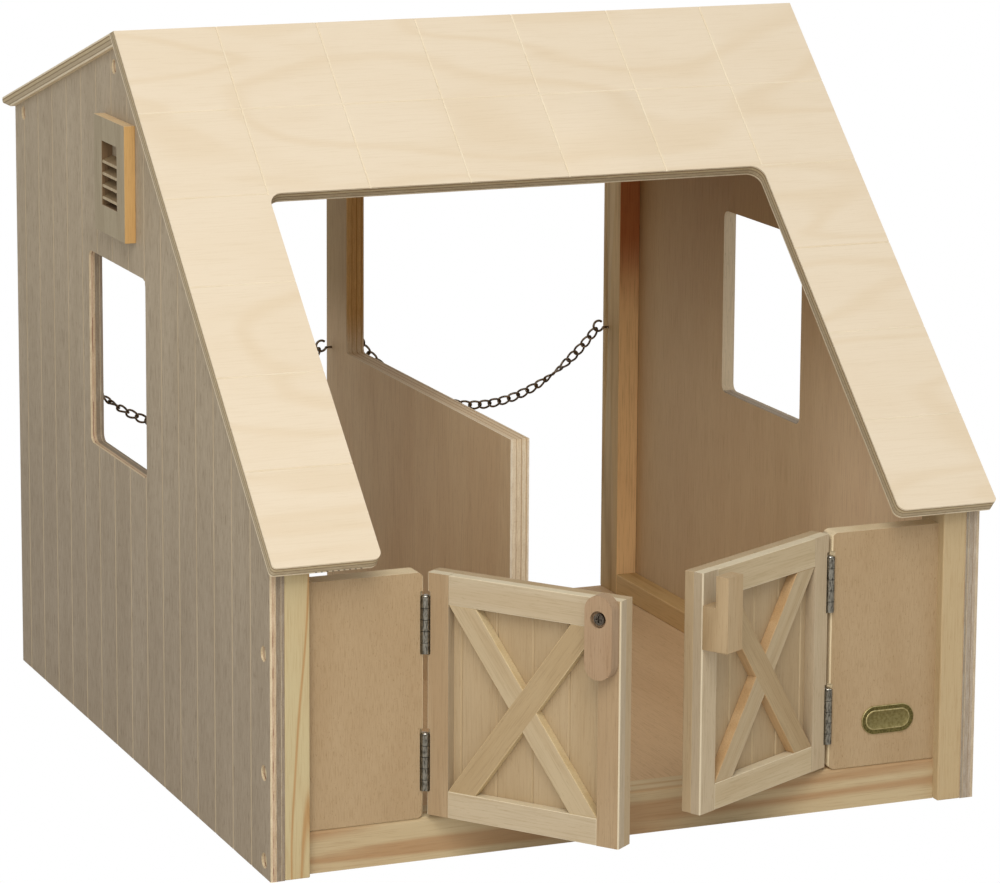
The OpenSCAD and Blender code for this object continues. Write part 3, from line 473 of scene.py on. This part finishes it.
# The arris tones are pale: sanded wood with a painted highlight on it.
PANEL_TONES, PANEL_ARRIS_AND_HIGHLIGHT = ("#B19A7A", "#A38967", "#846940"), ("#DFCFAE", "#D2BE98", "#B8A27C")
for name in ("left_front_panel", "right_front_panel"):
    place = Place((0, FRONT + 18, 0), UP, (0, -1, 0))
    skin = sanded_wood("tan_plywood_" + name, place, PANEL_TONES, figure=0.3, rings=6, ring_across=45,
                       fibre=0.45, specks=0.6, speck_long=1.8, hair_long=8, hair_wide=0.4, cloud=0.3)
    edge = sanded_wood("panel_end_grain_" + name, place, ("#E0D0B0", "#D2BE98", "#B09872"), fibre=0.3)
    arris = sanded_wood("sanded_arris_and_highlight_" + name, place, PANEL_ARRIS_AND_HIGHLIGHT, figure=0.2, fibre=0.2)
    eased_copy(name, (skin, skin, edge, arris), by_facing(Vector((0, -1, 0))), 0.8)


# ---------------------------------------------------------------------------
# Posts, sill, rails, ridge beam and floor. Planed pine with brown late wood
# that runs out of the faces in long curves; the floor is bare plywood.
# ---------------------------------------------------------------------------
ALONG, ACROSS = Vector((0, 1, 0)), Vector((1, 0, 0))
PINE = dict(figure=0.75, rings=4, ring_along=380, ring_across=16, ring_from=0.55, fibre=0.3, specks=0.1,
            cloud=0.2)
RAIL_TONES = ("#C5A674", "#AD8752", "#896536")
# The rear posts' front faces get paler tones than their sides: painted light on the front faces.
REAR_LIT_FRONT_TONES, REAR_SIDES = ("#F3D09D", "#C99C69", "#8B6134"), ("#C6AA7C", "#A98A5C", "#80602F")
# The rear posts' own grain, and a darker red-brown from 188 to 252 mm up on their front faces: painted shade
# under the roof.
REAR_GRAIN_AND_PAINTED_SHADE = dict(rings=8, ring_across=24, painted_shade=((0, 188, 252, "#B8866A"),))
for name, grain, face, tones, side_tones, look in (
        ("front_left_post", UP, (0, -1, 0), ("#C1B38D", "#AC8250", "#956F41"), None,
         dict(rings=13, ring_across=34, ring_from=0.8, figure=0.75)),
        ("front_right_post", UP, (0, -1, 0), ("#BCA884", "#AE9268", "#956F41"), None,
         dict(figure=0.35, specks=0.4)),
        ("rear_left_post", UP, (0, -1, 0), REAR_LIT_FRONT_TONES, REAR_SIDES, REAR_GRAIN_AND_PAINTED_SHADE),
        ("rear_right_post", UP, (0, -1, 0), REAR_LIT_FRONT_TONES, REAR_SIDES, REAR_GRAIN_AND_PAINTED_SHADE),
        ("front_sill", ACROSS, (0, -1, 0), ("#BFAE8C", "#A5805A", "#8A6844"),
         ("#CFBE9A", "#B99870", "#90704C"), dict(rings=6, ring_from=0.3)),
        ("left_floor_rail", ALONG, UP, RAIL_TONES, None, {}),
        ("right_floor_rail", ALONG, UP, RAIL_TONES, None, {}),
        ("ridge_beam", ACROSS, (0, -1, 0), RAIL_TONES, None, {}),
        ("floor_board", ALONG, UP, ("#CFB28C", "#BA9A74", "#8D6E4C"), None,
         dict(figure=0.3, rings=5, specks=0.5, ring_across=80, ring_from=0.25))):
    place = Place((0, FRONT, 0), grain, face)
    pine = sanded_wood("planed_pine_" + name, place, tones, **{**PINE, **look})
    flank = pine
    if side_tones:
        flank = sanded_wood("pine_side_" + name, place, side_tones, **{**PINE, **look, "painted_shade": ()})
    eased_copy(name, (pine, flank), lambda normal, middle, eased, face=Vector(face):
               0 if normal.dot(face) > 0.7 else 1, 0.7)


# ---------------------------------------------------------------------------
# Doors. A frame of pale hardwood glued over a V-grooved plywood back, with an
# X-brace; each bar has its grain along itself, and its arrises are sanded pale with a
# painted highlight, which the tops of the bars share as painted light from above.
# ---------------------------------------------------------------------------
PIN_X, PIN_Y = 118.55, 5.8
OPEN = {"left": math.radians(53), "right": math.radians(28.5)}
BRACE_END = 16.5
HARDWOOD = dict(figure=0.5, rings=5, ring_along=300, ring_across=14, fibre=0.35, specks=0.35)


def door_axes(side):
    """Origin on the hinge pin, the direction towards the free edge, and the way the front faces."""
    swing, hand = OPEN[side], -1 if side == "left" else 1
    along = Vector((-hand * math.cos(swing), -math.sin(swing), 0))
    front = Vector((hand * math.sin(swing), -math.cos(swing), 0))
    return Vector((hand * PIN_X, FRONT + PIN_Y, 0)), along, front


def front_arris(front):
    """0 on faces, 1 on the flanks of a bar, 2 on the arrises between them and on the top; 2 is
    sanded wood with a painted highlight, and painted light on the top.
    """
    def choose(normal, middle, eased):
        facing = normal.dot(front)
        return 0 if facing > FLAT else 2 if facing > 0.25 or normal.z > 0.7 else 1
    return choose


for side in ("left", "right"):
    pin, along, front = door_axes(side)
    # Each door's hardwood has its own tones, picked by this index: lit and shaded copies of one wood, the
    # right door's frame paler and its brace flanks darker than the left's: painted light and shade.
    lit_copy = 0 if side == "left" else 1
    stile = (("#B09A7C", "#A08665", "#7C6446"), ("#C0B095", "#B09C7E", "#8A7252"))[lit_copy]
    rail = (("#BFB198", "#B4A183", "#94805E"), ("#C6B698", "#B8A584", "#98845F"))[lit_copy]
    # Arris wood: sanded pale, with a painted highlight; the bars' tops get it as painted light.
    arris = sanded_wood(f"sanded_arris_and_highlight_{side}_door", Place(pin, UP, front), ("#D6CBB2", "#CDBE9F", "#B5A582"),
                        figure=0.2, fibre=0.2, specks=0.1)
    for bar, grain, tones in (("hinge_stile", UP, stile), ("free_stile", UP, stile),
                              ("top_rail", along, rail), ("bottom_rail", along, rail)):
        name = f"{side}_door_{bar}"
        wood = sanded_wood("pale_hardwood_" + name, Place(pin, grain, front), tones, **HARDWOOD)
        flank = sanded_wood("hardwood_flank_" + name, Place(pin, grain, along),
                            ("#B7A890", "#A8967A", "#86725A"), **HARDWOOD)
        eased_copy(name, (wood, flank, arris), front_arris(front), 0.35)
    name = f"{side}_door_braces"
    shape = frame["nodes"][name].data.vertices
    reaches = [(v.co / MM - pin).dot(along) for v in shape]
    heights = [v.co.z / MM for v in shape]
    run, rise = max(reaches) - min(reaches) - BRACE_END, max(heights) - min(heights)
    slope = (along * run + UP * rise).normalized()
    half_bar = BRACE_END * slope.z / 2 * MM
    long_bar, short_bar = (
        sanded_wood(f"pale_hardwood_{kind}_{name}", Place(pin, along * way + UP * rise, front), tones,
                    **HARDWOOD)
        for kind, way, tones in (("long", run, ("#B19C7A", "#A28A66", "#7E6644")),
                                 ("short", -run, ("#BBAA8C", "#AC9674", "#8C7656"))))
    # The brace flanks' tones per door: painted light on the left door's, painted shade on the right door's.
    brace_flank_light_and_shade = (("#D2C09A", "#C4AC80", "#A48A5E"), ("#C2A47C", "#B28E62", "#8C6A40"))[lit_copy]
    flank = sanded_wood("brace_flank_" + name, Place(pin, slope, front), brace_flank_light_and_shade, **HARDWOOD)
    across = slope.cross(front).normalized()
    centre = (pin + along * (max(reaches) + min(reaches)) / 2
              + UP * (max(heights) + min(heights)) / 2) * MM

    def brace_side(normal, middle, eased):
        if normal.dot(front) < FLAT:
            return 2
        return 0 if abs((middle * MM - centre).dot(across)) < half_bar else 1

    eased_copy(name, (long_bar, short_bar, flank), brace_side, 0.3,
               cuts=[(centre + across * way * half_bar, across) for way in (-1, 1)])
    name = f"{side}_door_back_panel"
    skin, rear, groove = (
        sanded_wood(f"{kind}_{name}", Place(pin, UP, front), tones, figure=strength, rings=5, ring_across=40,
                    fibre=0.3, specks=strength)
        for kind, tones, strength in (("door_board", ("#B4A081", "#A68F6D", "#886D4A"), 0.35),
                                    ("door_rear", ("#C4B08C", "#B59E78", "#947A54"), 0.35),
                                    ("door_groove", ("#BDAA8A", "#B09B78", "#907452"), 0.3)))
    eased_copy(name, (skin, rear, skin, groove), by_facing(front), 0.4)

pin, along, front = door_axes("left")
arm_wood = sanded_wood("pale_hardwood_latch_arm", Place(pin, UP, front),
                       ("#A88F74", "#9A7C5E", "#785D3D"), figure=0.4, rings=4, ring_along=200,
                       ring_across=10, fibre=0.4, specks=0.5)
eased_copy("latch_arm", (arm_wood,), lambda normal, middle, eased: 0, 1.1, 2, segments=3)
pin, along, front = door_axes("right")
keeper_wood = sanded_wood("pale_hardwood_latch_keeper", Place(pin, UP, along),
                          ("#B59F7E", "#A78A62", "#8A6B44"), figure=0.5, rings=4, ring_along=200,
                          ring_across=10, fibre=0.3, specks=0.25)
eased_copy("latch_keeper", (keeper_wood,), lambda normal, middle, eased: 0, 0.4, 2)


# ---------------------------------------------------------------------------
# Vents and plugs. A sawn pine block with its louvres let in, glued to the
# wall, and dished birch plugs set deep in the screw holes.
# ---------------------------------------------------------------------------
def copies(name, unit, spots):
    """One plain mesh with the unit mesh at each spot, each spot a place and an Euler turn; Geometry
    Nodes set the copies down, join them and keep the unit's material."""
    points = bpy.data.meshes.new(name)
    points.from_pydata([place for place, turn in spots], [], [])
    turns = points.attributes.new("turn", "FLOAT_VECTOR", "POINT")
    for value, (place, turn) in zip(turns.data, spots):
        value.vector = turn
    tree = bpy.data.node_groups.new(name + "_copies", "GeometryNodeTree")
    tree.interface.new_socket("Geometry", in_out="INPUT", socket_type="NodeSocketGeometry")
    unit_input = tree.interface.new_socket("Unit", in_out="INPUT", socket_type="NodeSocketObject")
    material_input = tree.interface.new_socket("Material", in_out="INPUT", socket_type="NodeSocketMaterial")
    tree.interface.new_socket("Geometry", in_out="OUTPUT", socket_type="NodeSocketGeometry")
    start = add(tree, "NodeGroupInput")
    turn = add(tree, "GeometryNodeInputNamedAttribute", {"Name": "turn"}, data_type="FLOAT_VECTOR")
    info = add(tree, "GeometryNodeObjectInfo", {"Object": start.outputs["Unit"], "As Instance": True})
    set_down = add(tree, "GeometryNodeInstanceOnPoints", {
        "Points": start.outputs["Geometry"], "Instance": info.outputs["Geometry"],
        "Rotation": turn.outputs["Attribute"]})
    joined = add(tree, "GeometryNodeRealizeInstances", {"Geometry": set_down.outputs["Instances"]})
    dressed = add(tree, "GeometryNodeSetMaterial", {
        "Geometry": joined.outputs["Geometry"], "Material": start.outputs["Material"]})
    add(tree, "NodeGroupOutput", {"Geometry": dressed.outputs["Geometry"]})
    pattern = bpy.data.objects.new(name + "_unit", unit)
    holder = bpy.data.objects.new(name + "_spots", points)
    for thing in (pattern, holder):
        bpy.context.scene.collection.objects.link(thing)
    modifier = holder.modifiers.new("copies", "NODES")
    modifier.node_group = tree
    modifier[unit_input.identifier] = pattern
    modifier[material_input.identifier] = unit.materials[0]
    bpy.context.view_layer.update()
    evaluated = holder.evaluated_get(bpy.context.evaluated_depsgraph_get())
    mesh = bpy.data.meshes.new_from_object(evaluated)
    mesh.name = name
    holder.modifiers.remove(modifier)
    bpy.data.objects.remove(holder)
    bpy.data.objects.remove(pattern)
    return mesh


def spun(name, outline, material, steps=40):
    """A smooth solid of revolution round Z, from radii and heights in millimetres, closed at its ends."""
    mesh = bpy.data.meshes.new(name)
    ring = [(math.cos(math.tau * k / steps), math.sin(math.tau * k / steps)) for k in range(steps)]
    verts = [(r * x * MM, r * y * MM, z * MM) for r, z in outline for x, y in ring]
    faces = [(i + k, i + (k + 1) % steps, i + steps + (k + 1) % steps, i + steps + k)
             for i in range(0, (len(outline) - 1) * steps, steps) for k in range(steps)]
    faces += [tuple(range(steps))[::-1], tuple(range((len(outline) - 1) * steps, len(outline) * steps))]
    mesh.from_pydata(verts, [], faces)
    mesh.materials.append(material)
    mesh.shade_smooth()
    return mesh


def middles(node):
    """The middle of each separate solid of a node, from left to right."""
    shell = welded(node)
    spots = []
    for group in solids(shell):
        low = Vector([min(v.co[i] for v in group) for i in range(3)])
        high = Vector([max(v.co[i] for v in group) for i in range(3)])
        spots.append((low + high) / 2)
    shell.free()
    return sorted(spots, key=lambda spot: (round(spot.x, 6), round(spot.y, 6), spot.z))


PLUG_R, PLUG_DEEP = 4.2, 2.5
VENT_RIM = 6
for side, hand in (("left", -1), ("right", 1)):
    out = Vector((hand, 0, 0))
    place = Place((hand * WALL_OUT, FRONT, 0), UP, out)
    face_wood = sanded_wood(f"sawn_pine_{side}_vent", place, ("#A69A82", "#958870", "#766A52"), figure=0.5,
                            rings=6, ring_along=200, ring_across=20, fibre=0.5, specks=0.4)
    flank_wood = sanded_wood(f"pine_flank_{side}_vent", place, ("#CDA76E", "#BE935A", "#9E7640"), figure=0.5,
                             rings=6, ring_along=200, ring_across=12, fibre=0.4, specks=0.3)
    top_wood = sanded_wood(f"pine_end_{side}_vent", place, ("#D6BC94", "#C8A880", "#A88A62"), figure=0.3,
                           fibre=0.3, specks=0.4)
    # The faces inside the opening are painted dark brown: painted shade in the recess behind the louvres.
    recess_shade_wood = sanded_wood(f"shade_painted_opening_{side}_vent", place, ("#7A6246", "#634C34", "#4A3824"), fibre=0.5,
                            specks=0.5)
    low, high = (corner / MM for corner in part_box(side + "_vent_frame"))

    def vent_side(normal, middle, eased, low=low, high=high, out=out):
        if abs(normal.dot(out)) > 0.6:
            return 0
        within = (low.y + VENT_RIM < middle.y < high.y - VENT_RIM
                  and low.z + VENT_RIM < middle.z < high.z - VENT_RIM)
        return 3 if within else 2 if normal.z > 0.6 else 1 if normal.y < -0.6 else 0

    eased_copy(side + "_vent_frame", (face_wood, flank_wood, top_wood, recess_shade_wood), vent_side, 0.3)
    slat_wood = sanded_wood(f"sawn_slat_{side}_vent", place, ("#B5A68A", "#A08E70", "#7A6A50"), figure=0.5,
                            rings=6, ring_along=200, ring_across=6, fibre=0.6, specks=0.6)
    # The slats' faces that do not face out, and are not rounded, are painted dark: painted shade between the
    # slats.
    slat_shade_wood = sanded_wood(f"shade_painted_slat_{side}_vent", place, ("#8E7A5C", "#786446", "#5C4A32"), fibre=0.6,
                            specks=0.6)
    eased_copy(side + "_vent_slats", (slat_wood, slat_shade_wood), lambda normal, middle, eased, out=out:
               0 if normal.dot(out) > 0.75 or eased else 1, 0.3)
    plug_wood = sanded_wood(f"birch_plug_{side}", place, ("#CFC4A8", "#C2B290", "#A09070"), figure=0.2,
                            fibre=0.3)
    dish = spun("dished_plug", [
        (PLUG_R, -PLUG_DEEP / 2), (PLUG_R, 0.1), (PLUG_R - 0.35, 0.1), (PLUG_R - 1, -0.45),
        (PLUG_R - 2.2, -0.75), (0.4, -0.85)], plug_wood)
    node = side + "_wall_plugs"
    tilt = out.to_track_quat("Z", "Y").to_euler()
    stand_in(copies(node + "_dished", dish, [(spot, tilt) for spot in middles(node)]), node,
             node + "_dished", ())


# ---------------------------------------------------------------------------
# Metal. Zinc-plated hinges and screws with darker barrels, low pin heads, and
# curb chains and hooks of antique bronze wire.
# ---------------------------------------------------------------------------
def plated(name, colour, worn, rough, speck_mm, streak=1.0):
    """Plated metal: a mottled haze, drawn out upwards by streak, and finer scratches in its gloss."""
    material, tree = new_material(name)
    at = Place((0, 0, 0), UP, (0, -1, 0)).node(tree)
    haze = noise(tree, stretched(tree, at, speck_mm * streak, speck_mm), 3, 0.6)
    colour = tint(tree, band(tree, haze, 0.4, 0.66), shade(colour), shade(worn))
    gloss = add(tree, "ShaderNodeMapRange", {"Value": haze, "To Min": rough - 0.08, "To Max": rough + 0.15})
    skin = add(tree, "ShaderNodeBsdfPrincipled", {"Base Color": colour, "Metallic": 1,
               "Roughness": gloss.outputs[0]})
    add(tree, "ShaderNodeOutputMaterial", {"Surface": skin.outputs[0]})
    return material


zinc = plated("zinc_plated_steel", "#9C9A92", "#6E6C66", 0.34, 1.2)
barrel = plated("zinc_barrel_streaked", "#8E8B82", "#4A4740", 0.3, 0.8, 4)
bright = plated("bright_steel", "#C9C7C0", "#8A887F", 0.22, 1.0)
dark_steel = plated("dark_screw_steel", "#6A6259", "#3B352E", 0.35, 0.8)
bronze = plated("antique_bronze", "#8C7E6C", "#3A3129", 0.34, 1.1, 3)
for node, cad in frame["nodes"].items():
    for ending, metal in (("_leaf", zinc), ("latch_screw", dark_steel), ("_screws", zinc), ("_hook", bronze)):
        if node.endswith(ending):
            cad.data.materials.clear()
            cad.data.materials.append(metal)

KNUCKLE_R, BARREL_MARGIN, PIN_HEAD, LOW_HEAD = 2.5, 0.15, 2.2, 1.0
for node, cad in frame["nodes"].items():
    if node.endswith("_leaf"):
        side = node.split("_")[0]
        pin = Vector((-PIN_X if side == "left" else PIN_X, FRONT + PIN_Y, 0)) * MM
        cad.data.materials.append(barrel)
        for polygon in cad.data.polygons:
            reach = (polygon.center - pin).xy.length / MM
            polygon.material_index = 1 if reach < KNUCKLE_R + BARREL_MARGIN else 0
for side in ("left", "right"):
    node = side + "_hinge_pins"
    shell = welded(node)
    for group in solids(shell):
        foot = max(vert.co.z for vert in group) - PIN_HEAD * MM
        for vert in group:
            if vert.co.z > foot:
                vert.co.z = foot + (vert.co.z - foot) * LOW_HEAD / PIN_HEAD
    mesh = bpy.data.meshes.new(node + "_low_heads")
    shell.to_mesh(mesh)
    shell.free()
    mesh.shade_smooth()
    mesh.set_sharp_from_angle(angle=math.radians(35))
    stand_in(mesh, node, node + "_low_heads", (bright,))

WIRE_R, LINK_WIDE, LINK_TWIST = 0.7, 6.1, 0.7
TWIST_FROM, TWIST_OVER = 0.35, 0.6


def curb_link(pitch, material, steps=44, sides=10):
    """A twisted oval of round wire: each link lies flat on the last with its ends turned through it."""
    half = pitch / 2 + WIRE_R
    wide = LINK_WIDE / 2 - WIRE_R

    def centre(turn):
        return Vector((half * math.cos(turn), wide * math.sin(turn), LINK_TWIST * math.sin(2 * turn)))

    verts, faces = [], []
    for i in range(steps):
        here = math.tau * i / steps
        ahead = (centre(here + 0.01) - centre(here - 0.01)).normalized()
        outward = centre(here) - ahead * centre(here).dot(ahead)
        outward.normalize()
        side = ahead.cross(outward)
        for k in range(sides):
            angle = math.tau * k / sides
            verts.append((centre(here) + (outward * math.cos(angle) + side * math.sin(angle)) * WIRE_R) * MM)
            j, m = (i + 1) % steps, (k + 1) % sides
            faces.append((i * sides + k, j * sides + k, j * sides + m, i * sides + m))
    mesh = bpy.data.meshes.new("curb_link")
    mesh.from_pydata(verts, [], faces)
    mesh.materials.append(material)
    mesh.shade_smooth()
    return mesh


for side in ("left", "right"):
    node = side + "_chain"
    spots = middles(node)
    last = len(spots) - 1
    pitch = sum((b - a).length for a, b in zip(spots, spots[1:])) / last / MM
    turned = []
    for k, spot in enumerate(spots):
        ahead = (spots[min(k + 1, last)] - spots[max(k - 1, 0)]).normalized()
        reach = min(max((abs(2 * k / last - 1) - TWIST_FROM) / TWIST_OVER, 0), 1)
        twist = math.pi * reach * reach * (3 - 2 * reach)
        flat = Matrix.Rotation(twist, 3, ahead) @ Vector((0, -1, 0))
        across = flat.cross(ahead)
        turned.append((spot, Matrix((ahead, across, flat)).transposed().to_euler()))
    stand_in(copies(node + "_curb", curb_link(pitch, bronze), turned), node, node + "_curb", ())


# ---------------------------------------------------------------------------
# Plate. A thin pressed brass plate with round ends on the right front panel,
# blank, with an olive band inside its edge and a raised khaki line.
# ---------------------------------------------------------------------------
PLATE_MIDDLE, PLATE_HALF, PLATE_ROUND, PLATE_STEPS = (155.7, 48.9), 16, 8, 96
PANEL_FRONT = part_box("right_front_panel")[0].y / MM
PLATE_PROFILE = ((0, 0, "edge"), (0, 0.55, "edge"), (0.3, 0.8, "edge"), (0.8, 0.75, "band"),
                 (2.4, 0.6, "band"), (2.6, 0.8, "edge"), (3.1, 0.8, "edge"), (3.3, 0.6, "field"),
                 (6.6, 0.62, "field"))
plate_metals = {"edge": plated("khaki_brass", "#B0A478", "#968A5E", 0.45, 1.5),
                "band": plated("dark_olive_lacquer", "#6E653C", "#544C2C", 0.45, 1),
                "field": plated("olive_lacquer", "#857B52", "#746A42", 0.5, 1.5)}
plate, rings = bmesh.new(), []
for inset, proud, metal in PLATE_PROFILE:
    ring = []
    for k in range(PLATE_STEPS):
        turn = math.tau * (k + 0.5) / PLATE_STEPS
        straight = math.copysign(PLATE_HALF - PLATE_ROUND, math.cos(turn))
        reach = PLATE_ROUND - inset
        ring.append(plate.verts.new(Vector((PLATE_MIDDLE[0] + straight + reach * math.cos(turn),
                                            PANEL_FRONT - proud,
                                            PLATE_MIDDLE[1] + reach * math.sin(turn))) * MM))
    rings.append(ring)
for outer, inner, (inset, proud, metal) in zip(rings, rings[1:], PLATE_PROFILE[1:]):
    for k in range(PLATE_STEPS):
        m = (k + 1) % PLATE_STEPS
        face = plate.faces.new((outer[k], outer[m], inner[m], inner[k]))
        face.material_index = list(plate_metals).index(metal)
plate.faces.new(rings[-1]).material_index = 2
plate.faces.new(rings[0][::-1]).material_index = 0
bmesh.ops.recalc_face_normals(plate, faces=plate.faces)
plate_mesh = bpy.data.meshes.new("blank_plate")
plate.to_mesh(plate_mesh)
plate.free()
for metal in plate_metals.values():
    plate_mesh.materials.append(metal)
plate_mesh.shade_smooth()
plate_mesh.set_sharp_from_angle(angle=math.radians(50))
blank_plate = bpy.data.objects.new("blank_plate", plate_mesh)
bpy.context.scene.collection.objects.link(blank_plate)
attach(blank_plate, "barn")
